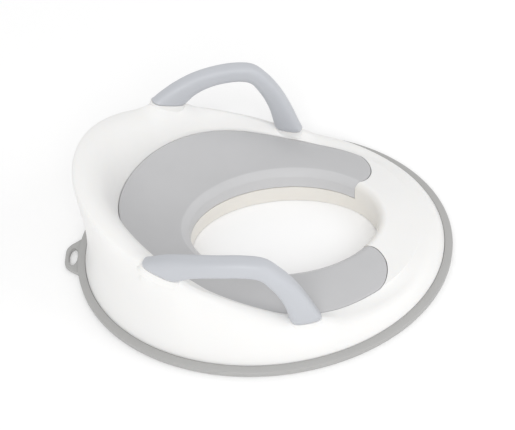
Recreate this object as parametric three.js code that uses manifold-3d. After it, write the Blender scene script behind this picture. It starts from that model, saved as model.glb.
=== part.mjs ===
// Toilet training seat for a small child: a moulded shell with a raised back, a lift-out
// horseshoe cushion, two arched handles and a soft rim with a hanging loop.
//
// Frame: millimetres, +Z up, the seat rests on Z = 0. X is across the seat, which is symmetric
// about X = 0. The child faces -Y and the raised back is at +Y.
import * as THREE from 'three';
import { mergeVertices } from 'three/addons/utils/BufferGeometryUtils.js';
import Module from 'manifold-3d';

const wasm = await Module();
wasm.setup();

// ---------------------------------------------------------------- driving dimensions

const GAP = 0.35; // clearance between neighbouring pieces
const WALL = 3; // shell wall thickness

// Ovals are seen from above. An oval's back half reaches `back` behind `centre`, its front half
// `front` ahead of it, and `swell` pushes the back corners out.
const RIM_OUTER = { halfWidth: 168, centre: 0, back: 195, front: 195, swell: 0 };
const SHELL_FOOT = { halfWidth: 160, centre: 0, back: 186.5, front: 186.5, swell: 0 };
const CREST = { halfWidth: 136, centre: -10, back: 182.5, front: 163, swell: 0.03 };
const PAD_EDGE = { halfWidth: 126.7, centre: -6, back: 146, front: 157, swell: 0 };
const HOLE = { halfWidth: 68.5, centre: -21, back: 96, front: 98.5, swell: 0 };

const SHELL_BASE = 1.35; // underside of the shell wall, above the rim's lip
const RIM_TOP = 8;
const RIM_SIDE_HEIGHT = 6.8;
const RIM_BEVEL = 1.2;
const RIM_LEVEL_BAND = 2; // the level part of its top, next to the shell
const RIM_LIP = 6; // the lip that passes under the shell wall
const RIM_LIP_TOP = SHELL_BASE - GAP;

const SEAT_HEIGHT = 35.5; // seat surface just outside the hole
const PAD_FRONT_HEIGHT = 28; // the pad's outer edge, at the front and how much higher at the back
const PAD_BACK_RISE = 48;
const PAD_RISE_SPAN = [-80, 120]; // where along Y it rises
const DISH = 0.65; // how strongly the seat is dished under the raised back
const DISH_SPAN = [-110, 20];

const CREST_FRONT_HEIGHT = 17;
const CREST_FRONT_SLOPE = 0.11;
const CREST_RISE_START = -45;
const CREST_RISE_SLOPE = 0.38;
const CREST_RISE_SOFTNESS = 12;
const SHOULDER = 13; // how far the crest's rounding reaches outward before the wall drops
const SHOULDER_SHARE = 0.6; // and at most this share of the way to the foot
const BROW = 6; // how far it reaches towards the cushion
const BROW_BACK_EXTRA = 17;
const INSIDE_LIFT = 0.55; // how soon the wall beside the cushion climbs
const FOOT_SHARE = 0.2; // the outer wall flares to its foot over this share of its run
const FOOT_BACK_FLARE = 18;
const FOOT_LIFT = 0.45;
const BACK_SPAN = [60, 160]; // where along Y the raised back takes its own roundings

// In front the seat and the crest melt into one plain slope from the hole to the foot.
const SEAT_MELT_SPAN = [-160, -120];
const CREST_MELT_SPAN = [-162, -110];
const SLOPE_STRAIGHT = 0.25;
const SLOPE_POWER = 2.2;

// Hole wall and rounded seat edge, from the bottom up: growth of the hole's half width,
// growth of its half length, height.
const HOLE_WALL = [
  [-6, -0.5, SHELL_BASE],
  [-3.6, -0.3, 12],
  [-1.6, -0.1, 21],
  [0.2, 0.2, 28],
  [1.6, 1.6, 32],
  [4.4, 4.4, 34.7],
];
const WALL_HEAD = 3; // the row of HOLE_WALL where the wall starts to round over
const SEAT_START = 8.5; // growth of the hole where the seat surface begins
const INTO_HOLE = 25; // cutters for the cushion's pocket reach this far into the hole
const ABOVE_ALL = 190; // and up to here

const CUSHION_THICKNESS = 8.5;
const SKIRT_BOTTOM = 17; // the cushion's inner skirt covers the hole wall down to here
const SKIRT_THICKNESS = 3;
const SKIRT_TOE = [-2.6, -0.2]; // growth of the hole's half width and half length at its bottom
const BACKING_THICKNESS = 2;
const BACKING_MARGIN = 6; // the plate stays this far inside the cushion's edges
const LAYER_GAP = 1.6; // between the cushion, its backing and the tray's floor
const TRAY_DEPTH = CUSHION_THICKNESS + BACKING_THICKNESS + 2 * LAYER_GAP;
const CUSHION_CROWN = 1.2;
const CUSHION_EDGE = [[1.5, 0.3], [0, 2]]; // rounding of its outer edge: inset, drop
const CUSHION_INNER_END = THREE.MathUtils.degToRad(143);
const CUSHION_OUTER_END = THREE.MathUtils.degToRad(133);
const CUSHION_NOSE = 10; // how far each rounded end runs on past its last full section
const CUSHION_STATIONS = 30;
const NOSE_STATIONS = 3;
const NOSE_TURN = THREE.MathUtils.degToRad(78);

const QUARTERS = [0, 0.25, 0.5, 0.75, 1];

const PEG_PLACES = [-0.75, -0.28, 0.28, 0.75]; // along the horseshoe, from -1 to 1
const PEG_RADIUS = 3;
const PEG_LENGTH = 9;
const PEG_SIDES = 14;

const SHELL_STATIONS = 56;
const HOLLOW_STATIONS = 36;
const RIM_STATIONS = 72;

const RIB_THICKNESS = 2;
const RIB_BOTTOM = 16;
const RIB_PLATE = { length: 500, height: 300 };
const RIB_ANGLES = [22.5, 67.5, 112.5, 157.5].map(THREE.MathUtils.degToRad);

const LOOP_REACH = 14; // how far the hanging loop stands out behind the rim
const LOOP_ROOT = 34; // half width where the loop meets the rim
const LOOP_TIP = 6; // half width of its flat tip
const LOOP_THICKNESS = 7;
const LOOP_SLOT_WIDTH = 24;
const LOOP_SLOT_DEPTH = 8;
const LOOP_END_WALL = 4.5;
const LOOP_OVERLAP = 6; // how far the tab runs into the rim
const LOOP_WAIST = 0.65;

// The right handle between its outer edge and the edge facing the hand gap. Both run from the
// rear foot, over the top, to the front foot.
const HANDLE_OUTER_EDGE = [
  [112, 105, 112.5], [116, 95, 118], [121, 82, 123.5], [128.5, 63, 128.5], [134, 42, 131],
  [137.5, 15, 131.5], [138.5, -4, 127], [138.5, -17, 114], [137.5, -29, 96], [135.5, -39, 74],
  [131, -50.5, 41],
];
const HANDLE_INNER_EDGE = [
  [124.5, 73, 98.5], [126.5, 67.5, 102.5], [129, 61, 106.5], [132.5, 48, 110.5],
  [135.5, 33, 112.5], [137.5, 12, 112], [138, 1.5, 108], [138.5, -5.5, 98], [138.5, -11.5, 86],
  [138.5, -17, 70], [138, -21.5, 45],
];
const HANDLE_HALF_THICKNESS = 9;
const HANDLE_ROUNDNESS = 0.85; // 1 is an ellipse, less is boxier
const HANDLE_CORE_SCALE = 0.52;
const HANDLE_STATIONS = 18;
// Each handle foot: its place along the handle, how far the core's tenon goes into the shell and
// how deep the shell's boss under it is.
const FEET = [
  { name: 'rear', place: 0, tenon: 16, boss: 22 },
  { name: 'front', place: 1, tenon: 9, boss: 13 },
];
// The shell rises to each foot in a flared collar: depth below the foot, scale of the foot's oval.
const COLLAR = [[GAP, 1], [2.5, 1.02], [5, 1.08], [8, 1.18], [11, 1.1]];
const BOSS_SCALE = 0.95;

const SCREW = { headRadius: 4, headHeight: 2.6, shankRadius: 1.7, length: 13 };
const SCREW_HEAD_EDGE = [0.6, 0.35]; // where its rounding starts, as shares of radius and height
const SCREW_SIDES = 12;
const SCREW_HEAD_ROOM = 14;

const COLOURS = {
  shell: 0xf4f3f1, cushion: 0xc1c1c3, handle: 0xc4c5c9, rim: 0xb9b9b7, steel: 0xb5b7ba,
};

// ---------------------------------------------------------------- geometry helpers

const { smoothstep, lerp } = THREE.MathUtils;

// A point of an oval: angle 0 is at the back, a quarter turn is at +X.
function ovalPoint(oval, angle, grow = 0, growLength = grow) {
  const behind = Math.cos(angle) > 0;
  const reach = (behind ? oval.back : oval.front) + growLength;
  const swell = behind ? 1 + oval.swell * Math.sin(2 * angle) ** 2 : 1;
  return new THREE.Vector2(
    (oval.halfWidth + grow) * Math.sin(angle) * swell,
    oval.centre + reach * Math.cos(angle) * swell,
  );
}

const raise = (point, height) => new THREE.Vector3(point.x, point.y, height);

const angles = (count) => Array.from({ length: count }, (_, i) => (2 * Math.PI * i) / count);

// A closed body through rings that all have the same number of points. A looped body joins its
// last ring to its first; any other body gets a flat cap on each end ring.
function loft(rings, looped = false) {
  const size = rings[0].length;
  const index = [];
  const steps = looped ? rings.length : rings.length - 1;
  for (let ring = 0; ring < steps; ring++) {
    const next = (ring + 1) % rings.length;
    for (let i = 0; i < size; i++) {
      const j = (i + 1) % size;
      const [a, b, c, d] = [ring * size + i, ring * size + j, next * size + j, next * size + i];
      index.push(a, b, c, a, c, d);
    }
  }
  if (!looped) {
    const first = capTriangles(rings[0]);
    const last = capTriangles(rings[rings.length - 1]);
    const offset = (rings.length - 1) * size;
    first.forEach(([a, b, c]) => index.push(a, c, b));
    last.forEach(([a, b, c]) => index.push(offset + a, offset + b, offset + c));
  }
  const geometry = new THREE.BufferGeometry();
  const places = rings.flat().flatMap((p) => p.toArray());
  geometry.setAttribute('position', new THREE.Float32BufferAttribute(places, 3));
  geometry.setIndex(index);
  return facingOut(geometry);
}

// Triangles across a ring, found in the plane of the ring.
function capTriangles(ring) {
  const normal = new THREE.Vector3();
  ring.forEach((p, i) => normal.add(p.clone().cross(ring[(i + 1) % ring.length])));
  normal.normalize();
  const u = ring[1].clone().sub(ring[0]).projectOnPlane(normal).normalize();
  const v = normal.clone().cross(u);
  const flat = ring.map((p) => new THREE.Vector2(p.dot(u), p.dot(v)));
  return THREE.ShapeUtils.triangulateShape(flat, []);
}

// Turns a closed geometry's faces outward.
function facingOut(geometry) {
  const { array } = geometry.attributes.position;
  const at = (i) => new THREE.Vector3().fromArray(array, 3 * i);
  const index = Array.from(geometry.index.array);
  let volume = 0;
  for (let t = 0; t < index.length; t += 3) {
    volume += at(index[t]).dot(at(index[t + 1]).cross(at(index[t + 2])));
  }
  if (volume < 0) geometry.setIndex(index.reverse());
  return geometry;
}

function toSolid(geometry) {
  const bare = geometry.clone();
  bare.deleteAttribute('normal');
  bare.deleteAttribute('uv');
  const merged = mergeVertices(bare, 1e-4);
  return new wasm.Manifold(new wasm.Mesh({
    numProp: 3,
    vertProperties: new Float32Array(merged.attributes.position.array),
    triVerts: new Uint32Array(merged.index.array),
  }));
}

function toGeometry(solid) {
  const { vertProperties, triVerts } = solid.getMesh();
  const geometry = new THREE.BufferGeometry();
  geometry.setAttribute('position', new THREE.BufferAttribute(new Float32Array(vertProperties), 3));
  geometry.setIndex(new THREE.BufferAttribute(new Uint32Array(triVerts), 1));
  return geometry;
}

const addAll = (solid, others) => others.reduce((sum, other) => sum.add(other), solid);
const cutAll = (solid, others) => others.reduce((rest, other) => rest.subtract(other), solid);

// A geometry turned so that its +Y runs along an axis, with its origin at a point.
function alongAxis(geometry, origin, axis) {
  const turn = new THREE.Quaternion().setFromUnitVectors(new THREE.Vector3(0, 1, 0), axis);
  return geometry.applyQuaternion(turn).translate(origin.x, origin.y, origin.z);
}

// ---------------------------------------------------------------- the seat's surface

const padEdgeHeight = (y) => PAD_FRONT_HEIGHT + PAD_BACK_RISE * smoothstep(y, ...PAD_RISE_SPAN);

const softRamp = (t) => (t + Math.hypot(t, CREST_RISE_SOFTNESS)) / 2;

const crestHeight = (y) => CREST_FRONT_HEIGHT
  + CREST_FRONT_SLOPE * (y - CREST.centre + CREST.front)
  + CREST_RISE_SLOPE * softRamp(y - CREST_RISE_START);

// Height of the seat at a fraction of the way from the hole's edge to the pad's outer edge. It is
// dished under the raised back.
function seatHeight(fraction, outerY) {
  const dish = DISH * smoothstep(outerY, ...DISH_SPAN);
  const rise = (1 - dish) * fraction + dish * fraction ** 2;
  return lerp(SEAT_HEIGHT, padEdgeHeight(outerY), rise);
}

// Height of the plain front slope at a fraction of the way from the hole's edge to the foot.
const slopeHeight = (fraction) => lerp(SEAT_HEIGHT, RIM_TOP,
  SLOPE_STRAIGHT * fraction + (1 - SLOPE_STRAIGHT) * fraction ** SLOPE_POWER);

const holeWall = (angle) => HOLE_WALL.map(([grow, growLength, height]) =>
  raise(ovalPoint(HOLE, angle, grow, growLength), height));

// The shell's outer skin at one angle, from the bottom of the hole wall over the crest to the foot.
function shellProfile(angle) {
  const hole = ovalPoint(HOLE, angle, SEAT_START);
  const pad = ovalPoint(PAD_EDGE, angle);
  const crest = ovalPoint(CREST, angle);
  const foot = ovalPoint(SHELL_FOOT, angle);
  const outward = foot.clone().sub(hole).normalize();
  const atBack = smoothstep(crest.y, ...BACK_SPAN);
  const brow = BROW + BROW_BACK_EXTRA * atBack;
  const step = (plan, distance) => plan.clone().addScaledVector(outward, distance);
  const top = crestHeight(crest.y);
  const padHeight = seatHeight(1, pad.y);
  const run = crest.distanceTo(foot);
  const inside = new THREE.CubicBezierCurve3(
    raise(pad, padHeight),
    raise(step(pad, 1), lerp(padHeight, top, INSIDE_LIFT)),
    raise(step(crest, -brow), top),
    raise(crest, top),
  );
  const outside = new THREE.CubicBezierCurve3(
    raise(crest, top),
    raise(step(crest, Math.min(SHOULDER, SHOULDER_SHARE * run)), top),
    raise(step(foot, -FOOT_SHARE * run - FOOT_BACK_FLARE * atBack), lerp(RIM_TOP, top, FOOT_LIFT)),
    raise(foot, RIM_TOP),
  );
  const seatRaised = smoothstep(pad.y, ...SEAT_MELT_SPAN);
  const crestRaised = smoothstep(crest.y, ...CREST_MELT_SPAN);
  const blend = (point, raised) => {
    const reach = new THREE.Vector2(point.x, point.y).distanceTo(hole) / foot.distanceTo(hole);
    return point.setZ(lerp(slopeHeight(Math.min(reach, 1)), point.z, raised));
  };
  const seat = [0, 0.3, 0.65, 1].map((fraction) =>
    blend(raise(hole.clone().lerp(pad, fraction), seatHeight(fraction, pad.y)), seatRaised));
  return [
    ...holeWall(angle),
    ...seat,
    ...inside.getPoints(4).slice(1, 4).map((point) => blend(point, crestRaised)),
    ...outside.getPoints(5).slice(0, 5).map((point) => blend(point, crestRaised)),
    raise(foot, RIM_TOP),
    raise(foot, SHELL_BASE),
  ];
}

// The skin moved into the wall by a thickness, along the skin's own normals. Its ends go straight
// down past the bottom, so that the hollow it bounds is open underneath.
function innerProfile(angle, thickness) {
  const step = 0.01;
  const here = shellProfile(angle);
  const ahead = shellProfile(angle + step);
  const last = here.length - 1;
  const moved = here.map((point, i) => {
    const along = here[Math.min(i + 1, last)].clone().sub(here[Math.max(i - 1, 0)]);
    const around = ahead[i].clone().sub(point);
    return point.clone().addScaledVector(along.cross(around).normalize(), thickness);
  });
  moved[0].z = -thickness;
  moved[last].z = -thickness;
  return moved.filter((_, i) => i % 2 === 0 || i === last);
}

// ---------------------------------------------------------------- the cushion's horseshoe

// The line across the horseshoe at a place from -1 to 1 along it. Places up to 2 each way are in
// the rounded ends, which run forward from the last full line and narrow towards its middle.
function padLine(place, grow = 0) {
  const whole = THREE.MathUtils.clamp(place, -1, 1);
  const eased = Math.sin((whole * Math.PI) / 2);
  const innerAngle = eased * (CUSHION_INNER_END + grow / HOLE.front);
  const outerAngle = eased * (CUSHION_OUTER_END + grow / PAD_EDGE.front);
  const start = ovalPoint(HOLE, innerAngle, SEAT_START);
  const outer = ovalPoint(PAD_EDGE, outerAngle);
  const across = outer.clone().sub(start).normalize();
  const turn = (Math.abs(place) - Math.abs(whole)) * NOSE_TURN;
  const forward = new THREE.Vector2(-across.y, across.x).multiplyScalar(-Math.sign(place));
  const shift = forward.multiplyScalar((CUSHION_NOSE + grow) * Math.sin(turn));
  const width = outer.distanceTo(start);
  return { innerAngle, start, outer, across, shift, narrow: Math.cos(turn), width };
}

// A point across the horseshoe: distance out from the seat's inner edge, and drop below the seat.
function padPoint(line, distance, drop) {
  const middle = line.width / 2;
  const squeezed = middle + (distance - middle) * line.narrow;
  const plan = line.start.clone().addScaledVector(line.across, squeezed).add(line.shift);
  const fraction = THREE.MathUtils.clamp(squeezed / line.width, 0, 1);
  return raise(plan, seatHeight(fraction, line.outer.y) - drop);
}

const fullPlaces = (count) => Array.from({ length: count + 1 }, (_, i) => -1 + (2 * i) / count);
const nosePlaces = Array.from({ length: NOSE_STATIONS }, (_, i) => 1 + (i + 1) / NOSE_STATIONS);

// The horseshoe places with both rounded ends.
const placesWithNoses = [
  ...nosePlaces.map((place) => -place).reverse(),
  ...fullPlaces(CUSHION_STATIONS),
  ...nosePlaces,
];

// A body along the horseshoe. `section` gives [distance, drop] pairs for a line's width.
function padBody(places, grow, section) {
  return toSolid(loft(places.map((place) => {
    const line = padLine(place, grow);
    return section(line.width).map(([distance, drop]) => padPoint(line, distance, drop));
  })));
}

// A strip along the hole's wall, where the cushion's skirt hangs. It reaches into the hole and
// behind the wall by the given distances.
function skirtBody(grow, bottom, top, reachIn, reachBehind) {
  const [toeWidth, toeLength] = SKIRT_TOE;
  const [head] = HOLE_WALL[WALL_HEAD];
  return toSolid(loft(fullPlaces(CUSHION_STATIONS).map((place) => {
    const { innerAngle } = padLine(place, grow);
    const low = (reach) => raise(ovalPoint(HOLE, innerAngle, toeWidth + reach, toeLength + reach), bottom);
    const high = (reach) => raise(ovalPoint(HOLE, innerAngle, head + reach), top);
    return [low(-reachIn), high(-reachIn), high(reachBehind), low(reachBehind)];
  })));
}

// The pocket that the cushion and its backing lie in, open to the top and to the hole.
function tray(grow) {
  const clearance = GAP + grow;
  const floor = TRAY_DEPTH + grow;
  const wallDistance = HOLE_WALL[WALL_HEAD][0] - SEAT_START;
  const above = SEAT_HEIGHT - ABOVE_ALL;
  const box = (from, to) => [
    ...QUARTERS.map((part) => [from + part * (to - from), floor]),
    [to, above],
    [from, above],
  ];
  const bed = padBody(placesWithNoses, clearance,
    (width) => box(wallDistance - clearance, width + clearance));
  const mouth = padBody(fullPlaces(CUSHION_STATIONS), clearance,
    () => box(wallDistance - INTO_HOLE, SEAT_START));
  const recess = skirtBody(clearance, SKIRT_BOTTOM - clearance, HOLE_WALL[WALL_HEAD + 1][2],
    INTO_HOLE, SKIRT_THICKNESS + clearance);
  return addAll(bed, [mouth, recess]);
}

function buildCushion() {
  const [wall, ...roll] = HOLE_WALL.slice(WALL_HEAD).map(([grow, , height]) =>
    [grow - SEAT_START, SEAT_HEIGHT - height]);
  const pad = padBody(placesWithNoses, 0, (width) => [
    wall, ...roll, [0, 0],
    ...QUARTERS.slice(1, 4).map((part) => [part * width, -CUSHION_CROWN * Math.sin(part * Math.PI)]),
    ...CUSHION_EDGE.map(([inset, drop]) => [width - inset, drop]),
    ...QUARTERS.map((part) => [width + part * (wall[0] - width), CUSHION_THICKNESS]),
  ]);
  const skirt = skirtBody(0, SKIRT_BOTTOM, HOLE_WALL[WALL_HEAD][2], 0, SKIRT_THICKNESS);
  return toGeometry(pad.add(skirt));
}

// The rigid plate under the cushion, with pegs that push through the tray's floor.
function buildBacking() {
  const topDrop = CUSHION_THICKNESS + LAYER_GAP;
  const plate = padBody(fullPlaces(CUSHION_STATIONS).slice(1, -1), 0, (width) => {
    const distances = QUARTERS.map((part) => BACKING_MARGIN + part * (width - 2 * BACKING_MARGIN));
    return [
      ...distances.map((distance) => [distance, topDrop]),
      ...distances.reverse().map((distance) => [distance, topDrop + BACKING_THICKNESS]),
    ];
  });
  return toGeometry(addAll(plate, PEG_PLACES.map((place) => peg(place, PEG_RADIUS, PEG_LENGTH))));
}

// An upright peg at a place along the horseshoe. It starts inside the backing plate, or above it
// by `above`, and ends `length` below the plate's middle.
function peg(place, radius, length, above = 0) {
  const line = padLine(place);
  const seat = padPoint(line, line.width / 2, 0);
  const top = seat.z - CUSHION_THICKNESS - LAYER_GAP - BACKING_THICKNESS / 2;
  const cylinder = new THREE.CylinderGeometry(radius, radius, length + above, PEG_SIDES);
  cylinder.rotateX(Math.PI / 2).translate(seat.x, seat.y, top + (above - length) / 2);
  return toSolid(cylinder);
}

// ---------------------------------------------------------------- handles

const curveThrough = (points) =>
  new THREE.CatmullRomCurve3(points.map((point) => new THREE.Vector3(...point)));
const outerEdge = curveThrough(HANDLE_OUTER_EDGE);
const innerEdge = curveThrough(HANDLE_INNER_EDGE);

// The handle's flattened oval section at a place from 0, the rear foot, to 1, the front foot.
function handleFrame(place) {
  const half = outerEdge.getPoint(place).sub(innerEdge.getPoint(place)).multiplyScalar(0.5);
  const middle = innerEdge.getPoint(place).add(half);
  const tangent = outerEdge.getTangent(place).add(innerEdge.getTangent(place)).normalize();
  const sideways = tangent.clone().cross(half).normalize();
  const forward = half.clone().cross(sideways).normalize();
  return { middle, half, sideways, forward };
}

function handleRing(place, { sides, scale = 1, grow = 0, shift = 0, spread = 1 }) {
  const { middle, half, sideways, forward } = handleFrame(place);
  const long = (half.length() * scale + grow) * spread;
  const short = (HANDLE_HALF_THICKNESS * scale + grow) * spread;
  const boxy = (value) => Math.sign(value) * Math.abs(value) ** HANDLE_ROUNDNESS;
  const along = half.clone().normalize();
  return angles(sides).map((turn) => middle.clone()
    .addScaledVector(along, long * boxy(Math.cos(turn)))
    .addScaledVector(sideways, short * boxy(Math.sin(turn)))
    .addScaledVector(forward, shift));
}

const onSide = (ring, side) => ring.map((p) => new THREE.Vector3(side * p.x, p.y, p.z));

// A handle-shaped body, with tenons that run on past its two feet by the given lengths.
function handleBody(side, section, rearTenon = 0, frontTenon = 0) {
  const rings = [];
  if (rearTenon) rings.push(handleRing(0, { ...section, shift: -rearTenon }));
  for (let i = 0; i <= HANDLE_STATIONS; i++) {
    rings.push(handleRing(i / HANDLE_STATIONS, section));
  }
  if (frontTenon) rings.push(handleRing(1, { ...section, shift: frontTenon }));
  return toSolid(loft(rings.map((ring) => onSide(ring, side))));
}

const GRIP_SECTION = { sides: 14 };
const CORE_SECTION = { sides: 10, scale: HANDLE_CORE_SCALE };
const CORE_ROOM = { ...CORE_SECTION, grow: GAP };

// The direction from a foot into the shell.
function intoShell(foot, side) {
  const { forward } = handleFrame(foot.place);
  const into = foot.place === 0 ? forward.negate() : forward;
  return new THREE.Vector3(side * into.x, into.y, into.z);
}

function footMiddle(foot, side) {
  const { middle } = handleFrame(foot.place);
  return new THREE.Vector3(side * middle.x, middle.y, middle.z);
}

// The shell's collar around a foot and the boss below it.
function pedestal(foot, side) {
  const sign = foot.place === 0 ? -1 : 1;
  const steps = [...COLLAR, [foot.boss, BOSS_SCALE]];
  const rings = steps.map(([depth, spread]) =>
    handleRing(foot.place, { ...GRIP_SECTION, spread, shift: sign * depth }));
  return toSolid(loft(rings.map((ring) => onSide(ring, side))));
}

// A round bore or bar on a foot's screw axis between two depths below the foot.
function screwAxisCylinder(foot, side, radius, from, to) {
  const into = intoShell(foot, side);
  const middle = footMiddle(foot, side).addScaledVector(into, (from + to) / 2);
  const cylinder = new THREE.CylinderGeometry(radius, radius, to - from, SCREW_SIDES);
  return toSolid(alongAxis(cylinder, middle, into));
}

const shankBore = (foot, side) =>
  screwAxisCylinder(foot, side, SCREW.shankRadius + GAP, foot.boss - SCREW.length - 1, foot.boss + 1);

const headRoom = (foot, side) =>
  screwAxisCylinder(foot, side, SCREW.headRadius + GAP, foot.boss, foot.boss + SCREW_HEAD_ROOM);

function buildScrew(foot, side) {
  const { headRadius, headHeight, shankRadius, length } = SCREW;
  const [edgeRadius, edgeHeight] = SCREW_HEAD_EDGE;
  const profile = [
    [0, -headHeight], [edgeRadius * headRadius, -headHeight],
    [headRadius, -edgeHeight * headHeight], [headRadius, 0],
    [shankRadius, 0], [shankRadius, length - 2 * shankRadius], [0, length],
  ].map(([radius, along]) => new THREE.Vector2(radius, along));
  const screw = new THREE.LatheGeometry(profile, SCREW_SIDES);
  const into = intoShell(foot, side);
  const seat = footMiddle(foot, side).addScaledVector(into, foot.boss + GAP);
  return toGeometry(toSolid(facingOut(alongAxis(screw, seat, into.negate()))));
}

function buildGrip(side) {
  const room = handleBody(side, CORE_ROOM, FEET[0].tenon, FEET[1].tenon);
  return toGeometry(handleBody(side, GRIP_SECTION).subtract(room));
}

function buildCore(side) {
  const core = handleBody(side, CORE_SECTION, FEET[0].tenon, FEET[1].tenon);
  return toGeometry(cutAll(core, FEET.map((foot) => shankBore(foot, side))));
}

// ---------------------------------------------------------------- shell and rim

// A thin upright plate right across the seat, which stiffens the shell from below.
function rib(angle) {
  const { length, height } = RIB_PLATE;
  const plate = new THREE.BoxGeometry(RIB_THICKNESS, length, height);
  return toSolid(plate.rotateZ(-angle).translate(0, 0, RIB_BOTTOM + height / 2));
}

function buildShell() {
  const hollow = cutAll(
    toSolid(loft(angles(HOLLOW_STATIONS).map((angle) => innerProfile(angle, WALL)), true)),
    [tray(WALL), ...RIB_ANGLES.map(rib)],
  );
  const shell = toSolid(loft(angles(SHELL_STATIONS).map(shellProfile), true)).subtract(hollow);
  const sides = [1, -1];
  const eachFoot = (make) => sides.flatMap((side) => FEET.map((foot) => make(foot, side)));
  const tenonRoom = { ...CORE_SECTION, grow: 2 * GAP };
  return toGeometry(cutAll(addAll(shell, eachFoot(pedestal)), [
    tray(0),
    ...sides.map((side) => handleBody(side, { ...GRIP_SECTION, grow: GAP })),
    ...sides.map((side) => handleBody(side, tenonRoom, FEET[0].tenon + GAP, FEET[1].tenon + GAP)),
    ...eachFoot(shankBore),
    ...eachFoot(headRoom),
    ...PEG_PLACES.map((place) => peg(place, PEG_RADIUS + GAP, 2 * PEG_LENGTH, PEG_LENGTH)),
  ]));
}

// The hanging loop, a rounded tab with a slot, seen from above.
function loopTab() {
  const root = RIM_OUTER.back - LOOP_OVERLAP;
  const tip = RIM_OUTER.back + LOOP_REACH;
  const shape = new THREE.Shape();
  shape.moveTo(-LOOP_ROOT, root);
  const waist = LOOP_WAIST * LOOP_ROOT;
  shape.bezierCurveTo(-waist, RIM_OUTER.back, -waist, tip, -LOOP_TIP, tip);
  shape.lineTo(LOOP_TIP, tip);
  shape.bezierCurveTo(waist, tip, waist, RIM_OUTER.back, LOOP_ROOT, root);
  const radius = LOOP_SLOT_DEPTH / 2;
  const reach = LOOP_SLOT_WIDTH / 2 - radius;
  const middle = tip - LOOP_END_WALL - radius;
  const slot = new THREE.Path();
  slot.absarc(reach, middle, radius, -Math.PI / 2, Math.PI / 2);
  slot.absarc(-reach, middle, radius, Math.PI / 2, 1.5 * Math.PI);
  shape.holes.push(slot);
  return toSolid(new THREE.ExtrudeGeometry(shape, {
    depth: LOOP_THICKNESS, bevelEnabled: false, curveSegments: 8,
  }));
}

// A ring with a sloping top band and an upright side band. Its lip passes under the shell wall.
function buildRim() {
  const rings = angles(RIM_STATIONS).map((angle) => [
    raise(ovalPoint(SHELL_FOOT, angle, -RIM_LIP), 0),
    raise(ovalPoint(RIM_OUTER, angle, -RIM_BEVEL), 0),
    raise(ovalPoint(RIM_OUTER, angle), RIM_BEVEL),
    raise(ovalPoint(RIM_OUTER, angle), RIM_SIDE_HEIGHT),
    raise(ovalPoint(SHELL_FOOT, angle, RIM_LEVEL_BAND), RIM_TOP),
    raise(ovalPoint(SHELL_FOOT, angle, GAP), RIM_TOP),
    raise(ovalPoint(SHELL_FOOT, angle, GAP), RIM_LIP_TOP),
    raise(ovalPoint(SHELL_FOOT, angle, -RIM_LIP), RIM_LIP_TOP),
  ]);
  return toGeometry(toSolid(loft(rings, true)).add(loopTab()));
}

// ---------------------------------------------------------------- the assembly

function material(color, roughness, metalness = 0) {
  return new THREE.MeshStandardMaterial({ color, roughness, metalness });
}

const seat = new THREE.Group();
// The origin is at the middle of the whole footprint, hanging loop included.
seat.position.y = -LOOP_REACH / 2;

function addPiece(name, geometry, surface) {
  const mesh = new THREE.Mesh(geometry, surface);
  mesh.name = name;
  seat.add(mesh);
}

addPiece('seat_shell', buildShell(), material(COLOURS.shell, 0.4));
addPiece('rim_seal', buildRim(), material(COLOURS.rim, 0.6));
addPiece('seat_cushion', buildCushion(), material(COLOURS.cushion, 0.7));
addPiece('cushion_backing', buildBacking(), material(COLOURS.shell, 0.5));
for (const [hand, side] of [['right', 1], ['left', -1]]) {
  addPiece(`${hand}_handle_grip`, buildGrip(side), material(COLOURS.handle, 0.55));
  addPiece(`${hand}_handle_core`, buildCore(side), material(COLOURS.shell, 0.5));
  for (const foot of FEET) {
    addPiece(`${hand}_${foot.name}_screw`, buildScrew(foot, side), material(COLOURS.steel, 0.35, 1));
  }
}

const part = new THREE.Group();
part.add(seat);

export default part;
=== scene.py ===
"""Looks of the toilet training seat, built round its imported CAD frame.

Shapes are worked out in millimetres in the rim's own frame, whose origin is the middle of the rim
oval: X across the seat, the raised back at +Y, Z up. place() turns them into metres in the row frame.
"""

import math
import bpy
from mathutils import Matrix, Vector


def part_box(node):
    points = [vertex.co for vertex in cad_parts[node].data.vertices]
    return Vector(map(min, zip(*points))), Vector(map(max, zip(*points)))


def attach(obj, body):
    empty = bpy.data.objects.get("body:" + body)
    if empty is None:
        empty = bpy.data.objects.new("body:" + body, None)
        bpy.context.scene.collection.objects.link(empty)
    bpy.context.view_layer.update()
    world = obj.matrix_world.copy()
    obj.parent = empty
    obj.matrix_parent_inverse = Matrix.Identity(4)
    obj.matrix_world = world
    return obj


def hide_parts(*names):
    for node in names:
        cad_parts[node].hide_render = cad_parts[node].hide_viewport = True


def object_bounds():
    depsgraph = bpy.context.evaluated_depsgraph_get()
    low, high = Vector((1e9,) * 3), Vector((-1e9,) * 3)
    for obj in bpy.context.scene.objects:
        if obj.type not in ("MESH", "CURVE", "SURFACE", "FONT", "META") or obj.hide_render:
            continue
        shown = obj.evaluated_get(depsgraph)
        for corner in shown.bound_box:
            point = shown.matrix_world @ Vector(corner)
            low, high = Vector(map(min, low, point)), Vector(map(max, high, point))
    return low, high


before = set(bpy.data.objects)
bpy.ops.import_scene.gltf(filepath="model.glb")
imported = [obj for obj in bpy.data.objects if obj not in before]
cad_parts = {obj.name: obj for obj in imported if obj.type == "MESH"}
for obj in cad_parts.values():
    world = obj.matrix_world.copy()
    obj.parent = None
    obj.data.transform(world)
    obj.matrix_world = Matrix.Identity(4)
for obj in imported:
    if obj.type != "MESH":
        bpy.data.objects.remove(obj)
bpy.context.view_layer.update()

from types import SimpleNamespace as Values

import bmesh
import bpy
import numpy as np
from mathutils import Matrix, Vector

MM = 0.001

# ---------------------------------------------------------------- driving dimensions, millimetres

GAP = 0.35
WALL = 3

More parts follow.
